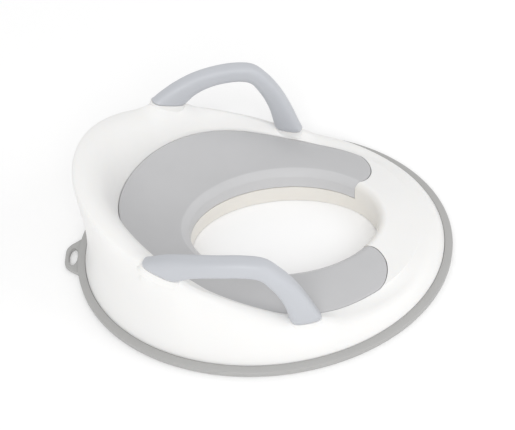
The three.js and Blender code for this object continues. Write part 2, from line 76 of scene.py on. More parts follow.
# An oval's back half reaches `back` behind `centre`, its front half `front` ahead of it, and
# `swell` pushes the back corners out, or draws them in where it is negative.
RIM_OUTER = Values(half=168, centre=0, back=195, front=195, swell=0)
SHELL_FOOT = Values(half=160, centre=0, back=186.5, front=186.5, swell=0)
CREST = Values(half=136, centre=-10, back=182.5, front=163, swell=0.03)
PAD_EDGE = Values(half=126.7, centre=-6, back=146, front=157, swell=-0.028)
HOLE = Values(half=68.5, centre=-21, back=96, front=98.5, swell=0)

SHELL_BASE = 1.35
HOLE_BASE = 0.3
RIM_TOP = 8
RIM_SIDE_HEIGHT = 6.8
RIM_BOTTOM_ROUNDING = 1.6
RIM_EDGE_ROUNDING = 0.7
RIM_LIP = 6
RIM_LIP_TOP = SHELL_BASE - GAP
# The rim's sloping top, inwards: growth past the shell's foot and drop below the rim's top.
RIM_TOP_BAND = ((5.5, 0.55), (3.5, 0.2), (2, 0.05), (GAP + 0.5, 0.1), (GAP, 0.6))

SEAT_HEIGHT = 35.5
PAD_FRONT_HEIGHT = 28
PAD_BACK_RISE = 48
PAD_RISE_SPAN = (-80, 120)
DISH = 0.65
DISH_SPAN = (-110, 20)

CREST_FRONT_HEIGHT = 17
CREST_FRONT_SLOPE = 0.11
CREST_RISE_START = -45
CREST_RISE_SLOPE = 0.38
CREST_RISE_SOFTNESS = 12
# Where along the seat the crest swells under a handle, by how much, and over what reach.
CREST_SWELLS = ((90, 6, 24), (25, 4, 58), (-44, 4.5, 18))
# The skin's outer side leaves the crest level over SHOULDER, and meets the foot with a flare.
SHOULDER = 13
SHOULDER_SHARE = 0.6
FOOT_SHARE = 0.2
FOOT_BACK_FLARE = 18
FOOT_LIFT = 0.45
# Its inner side overhangs the pad's edge below the crest, most along the back.
BROW = 2
BROW_BACK_EXTRA = 21
INSIDE_LIFT = 0.42
BACK_SPAN = (60, 160)

# Towards the front the pad's bed and the crest melt into one plain slope.
SEAT_MELT_SPAN = (-160, -120)
CREST_MELT_SPAN = (-162, -110)
SLOPE_STRAIGHT = 0.5
SLOPE_POWER = 8

# The hole's wall leans out from its base to its head, then rounds over onto the seat.
WALL_BASE_GROWTH = (-6, -0.5)
WALL_HEAD_GROWTH = 0.2
WALL_HEAD_HEIGHT = 28
WALL_HEIGHTS = (HOLE_BASE, 1.5, 3, 6, 11, 16, 20, 24, WALL_HEAD_HEIGHT)
SEAT_START = 8.5

CUSHION_THICKNESS = 8.5
CUSHION_EDGE = 1.3
CUSHION_PROUD = 0.4
CUSHION_CROWN = 1.2
# Where the underside's points lie: shares of the width, and distances at the rounded ends.
UNDER_SHARES = (1, 0.6, 0.25)
NOSE_UNDER = (1.0, 0.5)
CUSHION_INNER_END = math.radians(142.6)
CUSHION_OUTER_END = math.radians(130.5)
CUSHION_NOSE = 18.5
# Where across the cushion its ends' tips lie, and how its inner side closes in towards them.
NOSE_PIVOT = 0.6
NOSE_SLANT = 1.2
NOSE_BLUNTNESS = 0.65
NOSE_CUTOFF = 0.985
SKIRT_BOTTOM = 17
SKIRT_THICKNESS = 3
SKIRT_LIP = 0.4
SKIRT_CORNER_DROP = 4
SKIRT_CORNER_LENGTH = 6
SKIRT_CREASE = 1.6
LAYER_GAP = 1.6
BACKING_THICKNESS = 2
BACKING_MARGIN = 6
TRAY_DEPTH = CUSHION_THICKNESS + BACKING_THICKNESS + 2 * LAYER_GAP
TRAY_GAP = 0.55
RECESS_TOP = SEAT_HEIGHT - 4
INTO_HOLE = 25
ABOVE_ALL = 190

PEG_PLACES = (-0.75, -0.28, 0.28, 0.75)
PEG_RADIUS = 3
PEG_LENGTH = 9
PEG_TIP_LENGTH = 1
PEG_TIP_SCALE = 0.7

RIB_THICKNESS = 2
RIB_BOTTOM = 16
RIB_ANGLES = (22.5, 67.5, 112.5, 157.5)
RIB_HALF_LENGTH = 250
RIB_HEIGHT = 300

LOOP_REACH = 14
LOOP_ROOT = 30
LOOP_TIP = 6
LOOP_THICKNESS = 4.8
LOOP_SOFTNESS = 1.3
LOOP_SLOT_WIDTH = 24
LOOP_SLOT_DEPTH = 9
LOOP_END_WALL = 4.2
LOOP_OVERLAP = 6
LOOP_WAIST = 0.65
LOOP_CUT_PAST = 1

# The right handle's two edges from its rear foot to its front foot.
HANDLE_OUTER_EDGE = (
    (112, 105, 112.5), (116, 95, 118), (121, 82, 123.5), (128.5, 63, 128.5), (134, 42, 131),
    (137.5, 15, 131.5), (138.5, -4, 127), (138.5, -17, 114), (137.5, -29, 96), (135.5, -39, 74),
    (131, -50.5, 41),
)
HANDLE_INNER_EDGE = (
    (124.5, 73, 98.5), (126.5, 67.5, 102.5), (129, 61, 106.5), (132.5, 48, 110.5),
    (135.5, 33, 112.5), (137.5, 12, 112), (138, 1.5, 108), (138.5, -5.5, 98), (138.5, -11.5, 86),
    (138.5, -17, 70), (138, -21.5, 45),
)
HANDLE_HALF_THICKNESS = 8.7
HANDLE_ROUNDNESS = 0.68
HANDLE_CORE_SCALE = 0.52
# The grip's rounded ends: share of its full section, and distance in from its end.
GRIP_END = ((0.94, 0.0), (0.975, 0.25), (1.0, 0.8))
# Depths below each foot of the core's tenon and of its boss, and its collar's depth and flares.
FEET = (
    Values(name="rear", place=0.0, tenon=16, boss=22,
           collar=Values(depth=9, outer=3.5, inner=1.5, side=1.8)),
    Values(name="front", place=1.0, tenon=9, boss=13,
           collar=Values(depth=7, outer=3, inner=3, side=1)),
)
COLLAR_SPREAD = 1.03
COLLAR_END = 0.97
BOSS_SCALE = 0.95
BOSS_START = GAP + 3

SCREW_HEAD_RADIUS = 4
SCREW_HEAD_HEIGHT = 2.6
SCREW_HEAD_FLATNESS = 0.8
SCREW_HEAD_TOP_ANGLE = 0.05
SCREW_SHANK_RADIUS = 1.7
SCREW_LENGTH = 13
SCREW_TIP_RADIUS = 0.2
THREADS = 9
THREAD_START = 1.5
THREAD_PITCH = 1.1
THREAD_DEPTH = 0.35
CROSS_HALF_LENGTH = 2.1
CROSS_HALF_WIDTH = 0.45
CROSS_FLOOR = 1
BORE_CLEARANCE = 1
HEAD_POCKET_DEPTH = 14

SIDES = (("right", 1), ("left", -1))

# Points along sections and stations along outlines, for smoothness.
SHELL_STATIONS = 400
HOLLOW_STATIONS = 120
HOLLOW_SKIN_STEP = 4
ROLL_POINTS = 10
BED_POINTS = 26
INSIDE_POINTS = 22
OUTSIDE_POINTS = 34
PAD_STATIONS = 150
NOSE_STATIONS = 14
CUSHION_TOP_POINTS = 26
CUSHION_EDGE_POINTS = 9
CUSHION_SIDE_POINTS = 8
CREASE_POINTS = 14
PAST_FULL = 1.00001
TRAY_POINTS = 12
BACKING_STATIONS = 120
BACKING_POINTS = 10
BACKING_ENDS_LEFT_OUT = 4
RIM_STATIONS = 360
RIM_BENDS = 6
LOOP_SIDE_POINTS = 28
LOOP_SLOT_POINTS = 16
LOOP_BENDS = 5
COLLAR_RINGS = 12
COLLAR_POINTS = 48
BOSS_POINTS = 32
GRIP_STATIONS = 96
GRIP_POINTS = 56
BAR_POINTS = 28
SCREW_POINTS = 36
SCREW_HEAD_BENDS = 9

# ---------------------------------------------------------------- mesh helpers

RIM_MIDDLE_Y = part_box("rim_seal")[0].y / MM + RIM_OUTER.front
MERGE_DISTANCE = 2e-6
SHORTEST_SPAN = 1e-4
TINY = 1e-9


def place(points):
    """Millimetres in the rim's frame to metres in the row frame."""
    return (np.asarray(points, float) + (0, RIM_MIDDLE_Y, 0)) * MM


def smoothstep(x, span):
    """An eased rise from 0 to 1 over a span."""
    t = np.clip((x - span[0]) / (span[1] - span[0]), 0, 1)
    return t * t * (3 - 2 * t)


def lerp(a, b, t):
    """The value at a share t of the way from a to b."""
    return a + (b - a) * t


def raised(plan, height):
    """Plan points with a height each."""
    height = np.broadcast_to(np.asarray(height, float), plan.shape[:-1])
    return np.concatenate([plan, height[..., None]], -1)


def turns(count):
    """Angles evenly round a full turn."""
    return np.linspace(0, 2 * math.pi, count, endpoint=False)


def unit(v):
    """A vector's direction."""
    return v / np.linalg.norm(v)


def make_object(name, vertices, faces):
    """A mesh object with its doubled points merged and its faces turned outward."""
    mesh = bpy.data.meshes.new(name)
    mesh.from_pydata([tuple(v) for v in vertices], [], faces)
    mesh.validate()
    obj = bpy.data.objects.new(name, mesh)
    bpy.context.scene.collection.objects.link(obj)
    shape = bmesh.new()
    shape.from_mesh(mesh)
    bmesh.ops.remove_doubles(shape, verts=shape.verts, dist=MERGE_DISTANCE)
    bmesh.ops.recalc_face_normals(shape, faces=shape.faces)
    shape.to_mesh(mesh)
    shape.free()
    return obj


def loft(name, rings, looped=False):
    """A closed body through rings with the same number of points, capped at its ends or looped."""
    rings = np.asarray(rings, float)
    count, size = rings.shape[:2]
    faces = []
    for ring in range(count if looped else count - 1):
        after = (ring + 1) % count
        for i in range(size):
            j = (i + 1) % size
            faces.append((ring * size + i, ring * size + j, after * size + j, after * size + i))
    if not looped:
        faces.append(tuple(range(size)))
        faces.append(tuple((count - 1) * size + i for i in range(size)))
    return make_object(name, place(rings.reshape(-1, 3)), faces)


def bake(obj):
    """Replaces an object's mesh by what its modifiers make of it."""
    graph = bpy.context.evaluated_depsgraph_get()
    made = bpy.data.meshes.new_from_object(obj.evaluated_get(graph))
    obj.modifiers.clear()
    obj.data = made


def combine(obj, others, operation):
    """Joins other bodies to obj, or cuts them from it, and removes them."""
    for other in others:
        modifier = obj.modifiers.new("solid", "BOOLEAN")
        modifier.operation = operation
        modifier.solver = "MANIFOLD"
        modifier.object = other
        bake(obj)
        bpy.data.objects.remove(other)
    return obj


def finish_mesh(obj, angle=38):
    """Smooth shading with sharp edges above an angle in degrees."""
    obj.data.shade_smooth()
    obj.data.set_sharp_from_angle(angle=math.radians(angle))
    return obj


# ---------------------------------------------------------------- the seat's surface


def oval(shape, angle, grow=0.0, grow_length=None):
    """Plan points of an oval: angle 0 is at the back, a quarter turn is at +X."""
    grow_length = grow if grow_length is None else grow_length
    behind = np.cos(angle) > 0
    reach = np.where(behind, shape.back, shape.front) + grow_length
    swell = np.where(behind, 1 + shape.swell * np.sin(2 * angle) ** 2, 1.0)
    x = (shape.half + grow) * np.sin(angle) * swell
    y = shape.centre + reach * np.cos(angle) * swell
    return np.stack(np.broadcast_arrays(x, y), -1)


def pad_edge_height(y):
    """Height of the seat along the pad's outer edge."""
    return PAD_FRONT_HEIGHT + PAD_BACK_RISE * smoothstep(y, PAD_RISE_SPAN)


def crest_height(y):
    """Height of the crest: a gentle slope, a steeper one from the handles back, and the swells."""
    rise = y - CREST_RISE_START
    swells = sum(height * np.exp(-(((y - middle) / reach) ** 4))
                 for middle, height, reach in CREST_SWELLS)
    return (
        CREST_FRONT_HEIGHT
        + swells
        + CREST_FRONT_SLOPE * (y - CREST.centre + CREST.front)
        + CREST_RISE_SLOPE * (rise + np.hypot(rise, CREST_RISE_SOFTNESS)) / 2
    )


def seat_height(fraction, outer_y):
    """Height of the seat at a fraction of the way from the hole's edge to the pad's outer edge."""
    dish = DISH * smoothstep(outer_y, DISH_SPAN)
    rise = (1 - dish) * fraction + dish * fraction**2
    return lerp(SEAT_HEIGHT, pad_edge_height(outer_y), rise)


def slope_height(fraction):
    """Height of the plain front slope at a fraction of the way from the hole's edge to the foot."""
    curved = SLOPE_STRAIGHT * fraction + (1 - SLOPE_STRAIGHT) * np.abs(fraction) ** SLOPE_POWER
    return lerp(SEAT_HEIGHT, RIM_TOP, curved)


def bezier(controls, count):
    """Points along cubic curves, one for each row of the four control arrays."""
    t = np.linspace(0, 1, count)[None, :, None]
    a, b, c, d = (p[:, None, :] for p in controls)
    return (1 - t) ** 3 * a + 3 * (1 - t) ** 2 * t * b + 3 * (1 - t) * t**2 * c + t**3 * d


def wall_growth(height):
    """Growth of the hole's half width and half length on its leaning wall."""
    t = (height - SHELL_BASE) / (WALL_HEAD_HEIGHT - SHELL_BASE)
    return [lerp(growth, WALL_HEAD_GROWTH, t) for growth in WALL_BASE_GROWTH]


def wall_points(angle, heights, behind=0.0):
    """Points up the hole's wall, or behind it, one row for each angle."""
    width, length = wall_growth(np.asarray(heights))
    plan = oval(HOLE, np.asarray(angle)[:, None], width[None, :] + behind, length[None, :] + behind)
    return raised(plan, np.asarray(heights)[None, :])


def roll_points(angle, count, crease=1.0):
    """Points over the edge between wall and seat: a full rounding at crease 1, a flat bevel at 2."""
    turn = np.linspace(0, math.pi / 2, count)[None, :]
    grow = WALL_HEAD_GROWTH + (SEAT_START - WALL_HEAD_GROWTH) * (1 - np.cos(turn) ** crease)
    height = WALL_HEAD_HEIGHT + (SEAT_HEIGHT - WALL_HEAD_HEIGHT) * np.sin(turn) ** crease
    return raised(oval(HOLE, np.asarray(angle)[:, None], grow), height)


def shell_skin(angle):
    """The shell's outer skin, from the bottom of the hole's wall over the crest to the foot."""
    hole = oval(HOLE, angle, SEAT_START)
    pad = oval(PAD_EDGE, angle)
    crest = oval(CREST, angle)
    foot = oval(SHELL_FOOT, angle)
    outward = foot - hole
    whole = np.linalg.norm(outward, axis=1)
    outward = outward / whole[:, None]
    run = np.linalg.norm(crest - foot, axis=1)
    top = crest_height(crest[:, 1])
    pad_height = seat_height(1.0, pad[:, 1])
    at_back = smoothstep(crest[:, 1], BACK_SPAN)

    def step(plan, distance):
        return plan + outward * np.broadcast_to(distance, run.shape)[:, None]

    def melt(points, share):
        reach = np.linalg.norm(points[..., :2] - hole[:, None, :], axis=-1) / whole[:, None]
        points[..., 2] = lerp(slope_height(np.minimum(reach, 1)), points[..., 2], share[:, None])
        return points

    inside = bezier((
        raised(pad, pad_height),
        raised(step(pad, 1), lerp(pad_height, top, INSIDE_LIFT)),
        raised(step(crest, -BROW - BROW_BACK_EXTRA * at_back), top),
        raised(crest, top),
    ), INSIDE_POINTS)
    flare = FOOT_SHARE * run + FOOT_BACK_FLARE * at_back
    outside = bezier((
        raised(crest, top),
        raised(step(crest, np.minimum(SHOULDER, SHOULDER_SHARE * run)), top),
        raised(step(foot, -flare), lerp(RIM_TOP, top, FOOT_LIFT)),
        raised(foot, RIM_TOP),
    ), OUTSIDE_POINTS)
    share = np.linspace(0, 1, BED_POINTS)[None, :, None]
    plan = lerp(hole[:, None, :], pad[:, None, :], share)
    bed = raised(plan, seat_height(share[..., 0], pad[:, 1][:, None]))
    crest_share = smoothstep(crest[:, 1], CREST_MELT_SPAN)
    return np.concatenate([
        wall_points(angle, WALL_HEIGHTS),
        roll_points(angle, ROLL_POINTS)[:, 1:],
        melt(bed, smoothstep(pad[:, 1], SEAT_MELT_SPAN))[:, 1:],
        melt(inside, crest_share)[:, 1:],
        melt(outside, crest_share)[:, 1:],
        raised(foot, SHELL_BASE)[:, None, :],
    ], 1)


# ---------------------------------------------------------------- handles


def curve_points(points, places):
    """Points along a centripetal Catmull-Rom curve through the given points, at places 0 to 1."""
    points = np.asarray(points, float)
    ends = [2 * points[0] - points[1], 2 * points[-1] - points[-2]]
    full = np.vstack([ends[0], points, ends[1]])
    found = []
    for where in places:
        at = min(max(where, 0), 1) * (len(points) - 1)
        k = min(int(at), len(points) - 2)
        p = full[k:k + 4]
        spans = np.maximum(np.linalg.norm(np.diff(p, axis=0), axis=1), SHORTEST_SPAN) ** 0.5
        m1 = (p[1] - p[0]) / spans[0] - (p[2] - p[0]) / (spans[0] + spans[1])
        m1 = (m1 + (p[2] - p[1]) / spans[1]) * spans[1]
        m2 = (p[2] - p[1]) / spans[1] - (p[3] - p[1]) / (spans[1] + spans[2])
        m2 = (m2 + (p[3] - p[2]) / spans[2]) * spans[1]
        t = at - k
        found.append(
            p[1] + m1 * t
            + (-3 * p[1] + 3 * p[2] - 2 * m1 - m2) * t**2
            + (2 * p[1] - 2 * p[2] + m1 + m2) * t**3
        )
    return np.array(found)


def handle_frame(where):
    """Middle, half width, sideways and forward directions of the right handle at a place 0 to 1."""
    step = 1e-3
    low, high = max(where - step, 0), min(where + step, 1)
    outer = curve_points(HANDLE_OUTER_EDGE, (low, where, high))
    inner = curve_points(HANDLE_INNER_EDGE, (low, where, high))
    half = (outer[1] - inner[1]) / 2
    tangent = unit(unit(outer[2] - outer[0]) + unit(inner[2] - inner[0]))
    sideways = unit(np.cross(tangent, half))
    return Values(middle=inner[1] + half, half=half, sideways=sideways,
                  forward=unit(np.cross(half, sideways)))


def handle_ring(where, side, count, scale=1.0, grow=0.0, shift=0.0, spread=1.0):
    """A handle's boxy section at a place 0 to 1: shift moves it forward, scale thins it to a core."""
    section = handle_frame(where)
    long = (np.linalg.norm(section.half) * scale + grow) * spread
    short = (HANDLE_HALF_THICKNESS * scale + grow) * spread
    turn = turns(count)[:, None]

    def boxy(value):
        return np.sign(value) * np.abs(value) ** HANDLE_ROUNDNESS

    ring = (
        section.middle
        + unit(section.half) * long * boxy(np.cos(turn))
        + section.sideways * short * boxy(np.sin(turn))
        + section.forward * shift
    )
    return ring * (side, 1, 1)


def core_room(side, stations, points, grow, past_tenons=0.0):
    """A cutter for a handle's core and its tenons into the shell."""
    section = {"count": points, "scale": HANDLE_CORE_SCALE, "grow": grow}
    rear, front = FEET
    rings = [handle_ring(0, side, shift=-rear.tenon - past_tenons, **section)]
    rings += [handle_ring(where, side, **section) for where in np.linspace(0, 1, stations)]
    rings.append(handle_ring(1, side, shift=front.tenon + past_tenons, **section))
    return loft("room", rings)


def foot_axis(foot, side):
    """A foot's middle and the direction from it into the shell."""
    section = handle_frame(foot.place)
    into = -section.forward if foot.place == 0 else section.forward
    return section.middle * (side, 1, 1), into * (side, 1, 1)


def collar(foot, side):
    """A flared pedestal that carries a handle foot above the shell's crest."""
    middle, into = foot_axis(foot, side)
    outer_way = unit(handle_frame(foot.place).half) * (side, 1, 1)
    away = handle_ring(foot.place, side, COLLAR_POINTS, spread=COLLAR_SPREAD) - middle
    distance = np.linalg.norm(away, axis=1)
    cosine = (away @ outer_way) / distance
    flares = foot.collar
    flare = (
        flares.side
        + (flares.outer - flares.side) * np.maximum(cosine, 0) ** 2
        + (flares.inner - flares.side) * np.minimum(cosine, 0) ** 2
    )
    rings = []
    for t in np.linspace(0, COLLAR_END, COLLAR_RINGS):
        centre = middle + into * (GAP + foot.collar.depth * t)
        wider = 1 + flare * (1 - math.sqrt(1 - t * t)) / distance
        rings.append(centre + away * wider[:, None])
    return loft("collar", rings)


# ---------------------------------------------------------------- the cushion's horseshoe


def pad_line(where, grow=0.0):
    """The line across the horseshoe at a place from -1 to 1, or up to 2 each way in its ends."""
    whole = min(max(where, -1), 1)
    eased = math.sin(whole * math.pi / 2)
    turn = (abs(where) - abs(whole)) * math.pi / 2
    ahead = (CUSHION_NOSE + grow) * math.sin(turn) * eased
    inner_angle = eased * (CUSHION_INNER_END + grow / HOLE.front) + ahead / HOLE.front
    outer_angle = eased * (CUSHION_OUTER_END + grow / PAD_EDGE.front) + ahead / PAD_EDGE.front
    start = oval(HOLE, inner_angle, SEAT_START)
    outer = oval(PAD_EDGE, outer_angle)
    width = np.linalg.norm(outer - start)
    return Values(inner_angle=inner_angle, start=start, outer=outer, across=(outer - start) / width,
                  width=width, turn=turn)


def pad_points(line, distances, drops):
    """Points across the horseshoe: distance out from the seat's inner edge, drop below the seat."""
    distances = np.asarray(distances, float)
    pivot = line.width * NOSE_PIVOT
    inner = (1 - math.sin(line.turn) ** NOSE_SLANT) ** NOSE_BLUNTNESS
    squeezed = pivot + (distances - pivot) * np.where(distances < pivot, inner, math.cos(line.turn))
    plan = line.start + line.across * squeezed[:, None]
    fraction = np.clip(squeezed / line.width, 0, 1)
    height = seat_height(fraction, line.outer[1]) - np.asarray(drops, float)
    return raised(plan, height)


def full_places(count):
    """Places evenly along the horseshoe's full width."""
    return np.linspace(-1, 1, count + 1)


def nose_places():
    """Places in a rounded end, closer together towards its tip."""
    return 1 + np.sin(np.linspace(0, math.pi / 2, NOSE_STATIONS + 1)[1:]) * NOSE_CUTOFF


def rounding(distance, radius):
    """Drop of a rounded edge at a distance from the outline."""
    left = np.clip(radius - distance, 0, radius)
    return radius - np.sqrt(radius**2 - left**2)


def nose_side(line, tip_drop):
    """The inner side of a rounded end with its edge, and the end of its underside."""
    bends = np.linspace(math.pi / 2, 0, CREASE_POINTS)[1:]
    distances = CUSHION_EDGE * (1 - np.sin(bends))
    drops = CUSHION_EDGE * (1 - np.cos(bends)) + tip_drop
    rising = np.linspace(CUSHION_THICKNESS, CUSHION_EDGE, CUSHION_SIDE_POINTS)
    side = pad_points(line, np.r_[np.zeros(CUSHION_SIDE_POINTS), distances], np.r_[rising, drops])
    return side, pad_points(line, NOSE_UNDER, np.full(len(NOSE_UNDER), CUSHION_THICKNESS))


def skirt_side(line, where):
    """The skirt up the hole's wall with the crease over it, and the skirt's back."""
    left = (1 - abs(where)) * CUSHION_INNER_END * HOLE.front
    corner = max(1 - left / SKIRT_CORNER_LENGTH, 0)
    bottom = SKIRT_BOTTOM + SKIRT_CORNER_DROP * (1 - math.sqrt(1 - corner**2))
    angle = [line.inner_angle]
    wall = wall_points(angle, np.linspace(bottom, WALL_HEAD_HEIGHT, CUSHION_SIDE_POINTS))[0]
    crease = roll_points(angle, CREASE_POINTS, SKIRT_CREASE)[0][1:]
    back_heights = (SEAT_HEIGHT - CUSHION_THICKNESS, bottom + SKIRT_LIP)
    return np.concatenate([wall, crease]), wall_points(angle, back_heights, SKIRT_THICKNESS)[0]


def cushion_ring(where):
    """The cushion's section, from its inner bottom edge up, over its top, and back underneath."""
    line = pad_line(where)
    tip_drop = rounding(CUSHION_NOSE * (1 - math.sin(line.turn)), CUSHION_EDGE)
    side, under_end = nose_side(line, tip_drop) if line.turn > 0 else skirt_side(line, where)
    top = np.linspace(0, 1, CUSHION_TOP_POINTS)[1:] * (line.width - CUSHION_EDGE)
    crown = -CUSHION_CROWN * np.sin(top / line.width * math.pi) * math.cos(line.turn)
    bends = np.linspace(0, math.pi / 2, CUSHION_EDGE_POINTS)[1:]
    edge = line.width - CUSHION_EDGE * (1 - np.sin(bends))
    edge_drop = CUSHION_EDGE * (1 - np.cos(bends))
    under = line.width * np.array(UNDER_SHARES)
    ring = np.concatenate([
        side,
        pad_points(line, np.r_[top, edge], np.r_[crown, edge_drop] + tip_drop),
        pad_points(line, under, np.full(len(under), CUSHION_THICKNESS)),
        under_end,
    ])
    return ring + (0, 0, CUSHION_PROUD)


def build_cushion():
    """The soft horseshoe with its rounded ends and its skirt."""
    ends = nose_places()
    full = np.sin(full_places(PAD_STATIONS) * math.pi / 2)
    places = np.concatenate([-ends[::-1], [-PAST_FULL], full, [PAST_FULL], ends])
    return finish_mesh(loft("seat_pad", [cushion_ring(where) for where in places]))


def tray_bed(clearance, floor):
    """A cutter along the whole horseshoe, from a floor below the seat up past everything."""
    ends = nose_places()
    rings = []
    for where in np.concatenate([-ends[::-1], full_places(PAD_STATIONS), ends]):
        line = pad_line(where, clearance)
        start, stop = -clearance, line.width + clearance
        bottom = pad_points(line, np.linspace(start, stop, TRAY_POINTS), np.full(TRAY_POINTS, floor))
        lid = pad_points(line, [stop, start], [0, 0])
        lid[:, 2] = ABOVE_ALL
        rings.append(np.concatenate([bottom, lid]))
    return loft("bed", rings)


def tray_bodies(grow):
    """The pocket that the cushion and its backing lie in, open to the top and to the hole."""
    clearance = TRAY_GAP + grow
    floor = TRAY_DEPTH + grow
    heights = np.array((SKIRT_BOTTOM - clearance, RECESS_TOP))
    mouth = []
    recess = []
    for where in full_places(PAD_STATIONS):
        angle = pad_line(where, clearance).inner_angle
        front = wall_points([angle], heights, -INTO_HOLE)[0]
        back = wall_points([angle], heights[::-1], SKIRT_THICKNESS + clearance)[0]
        recess.append(np.concatenate([front, back]))
        sides = oval(HOLE, angle, np.array((-INTO_HOLE, SEAT_START)))
        mouth.append(np.concatenate([raised(sides, SEAT_HEIGHT - floor), raised(sides[::-1], ABOVE_ALL)]))
    return [tray_bed(clearance, floor), loft("mouth", mouth), loft("recess", recess)]


def peg(where, radius, above, below):
    """An upright round bar through the backing plate's middle at a place along the horseshoe."""
    line = pad_line(where)
    depth = CUSHION_THICKNESS + LAYER_GAP + BACKING_THICKNESS / 2
    middle = pad_points(line, [line.width / 2], [depth])[0]
    turn = turns(BAR_POINTS)
    circle = np.stack([np.cos(turn), np.sin(turn), np.zeros(BAR_POINTS)], -1) * radius
    levels = ((above, 1), (PEG_TIP_LENGTH - below, 1), (-below, PEG_TIP_SCALE))
    return loft("peg", [middle + circle * size + (0, 0, height) for height, size in levels])


def build_backing():
    """The cushion's stiff plate with its four pegs."""
    top = CUSHION_THICKNESS + LAYER_GAP
    rings = []
    for where in full_places(BACKING_STATIONS)[BACKING_ENDS_LEFT_OUT:-BACKING_ENDS_LEFT_OUT]:
        line = pad_line(where)
        distances = np.linspace(BACKING_MARGIN, line.width - BACKING_MARGIN, BACKING_POINTS)
        rings.append(np.concatenate([
            pad_points(line, distances, np.full(BACKING_POINTS, top)),
            pad_points(line, distances[::-1], np.full(BACKING_POINTS, top + BACKING_THICKNESS)),
        ]))
    pegs = [peg(where, PEG_RADIUS, 0, PEG_LENGTH) for where in PEG_PLACES]
    return finish_mesh(combine(loft("pad_backing", rings), pegs, "UNION"))


# ---------------------------------------------------------------- shell


def rib(angle):
    """A thin upright plate right across the seat, to be kept out of the hollow."""
    half = RIB_THICKNESS / 2
    corners = np.array((
        (half, RIB_HALF_LENGTH), (-half, RIB_HALF_LENGTH),
        (-half, -RIB_HALF_LENGTH), (half, -RIB_HALF_LENGTH),
    ))
    cosine, sine = math.cos(angle), math.sin(angle)
    turned = corners @ np.array(((cosine, -sine), (sine, cosine)))
    return loft("rib", [raised(turned, height) for height in (RIB_BOTTOM, RIB_BOTTOM + RIB_HEIGHT)])


def inner_skin(skin):
    """The skin moved into the wall along its own normals, and run straight down past its ends."""
    along = np.gradient(skin, axis=1)
    around = np.roll(skin, -1, 0) - np.roll(skin, 1, 0)
    normal = np.cross(along, around)
    normal /= np.linalg.norm(normal, axis=-1, keepdims=True)
    moved = skin + normal * WALL
    moved[:, (0, -1), 2] = -WALL
    last = skin.shape[1] - 1
    return moved[:, [*range(0, last, HOLLOW_SKIN_STEP), last]]


def boss(foot, side):
    """A solid stub below a foot that its screw runs through."""
    sign = -1 if foot.place == 0 else 1
    return loft("boss", [
        handle_ring(foot.place, side, BOSS_POINTS, spread=BOSS_SCALE, shift=sign * depth)
        for depth in (BOSS_START, foot.boss)
    ])


def foot_circle(foot, side, count):
    """A foot's middle, the way into the shell, two directions across it and a circle of radius 1."""
    middle, into = foot_axis(foot, side)
    u = unit(np.cross(into, (1, 0, 0)))
    v = np.cross(into, u)
    turn = turns(count)[:, None]
    return middle, into, u, v, u * np.cos(turn) + v * np.sin(turn)


def axis_bar(foot, side, radius, start, stop):
    """A round bar on a foot's screw axis between two depths below the foot."""
    middle, into, _, _, circle = foot_circle(foot, side, BAR_POINTS)
    return loft("bar", [middle + into * depth + circle * radius for depth in (start, stop)])


def build_shell():
    """The moulded shell: a skin round a hollow with ribs, collars and bosses, cut for its fittings."""
    hollow = loft("hollow", inner_skin(shell_skin(turns(HOLLOW_STATIONS))), looped=True)
    ribs = [rib(math.radians(angle)) for angle in RIB_ANGLES]
    combine(hollow, [*tray_bodies(WALL), *ribs], "DIFFERENCE")
    shell = loft("shell_body", shell_skin(turns(SHELL_STATIONS)), looped=True)
    combine(shell, [hollow], "DIFFERENCE")
    feet = [(foot, side) for _, side in SIDES for foot in FEET]
    combine(shell, [collar(*each) for each in feet], "UNION")
    combine(shell, [boss(*each) for each in feet], "UNION")
    cutters = tray_bodies(0)
    cutters += [core_room(side, stations=24, points=20, grow=2 * GAP, past_tenons=GAP) for _, side in SIDES]
    for foot, side in feet:
        bore_top = foot.boss - SCREW_LENGTH - BORE_CLEARANCE
        bore_end = foot.boss + BORE_CLEARANCE
        pocket_end = foot.boss + HEAD_POCKET_DEPTH
        cutters.append(axis_bar(foot, side, SCREW_SHANK_RADIUS + GAP, bore_top, bore_end))
        cutters.append(axis_bar(foot, side, SCREW_HEAD_RADIUS + GAP, foot.boss, pocket_end))
    cutters += [peg(where, PEG_RADIUS + GAP, PEG_LENGTH, 2 * PEG_LENGTH) for where in PEG_PLACES]
    return finish_mesh(combine(shell, cutters, "DIFFERENCE"))


# ---------------------------------------------------------------- rim


def inset(points, amount):
    """A closed outline drawn in by an amount, or let out by a negative one."""
    along = np.roll(points, -1, 0) - np.roll(points, 1, 0)
    normal = np.stack([along[:, 1], -along[:, 0]], -1)
    normal /= np.maximum(np.linalg.norm(normal, axis=1, keepdims=True), TINY)
    if ((points - points.mean(0)) * normal).sum() > 0:
        normal = -normal
    return points + normal * amount


def mirrored(half):
    """An outline from its right half."""
    return np.concatenate([half, (half * (-1, 1))[::-1]])


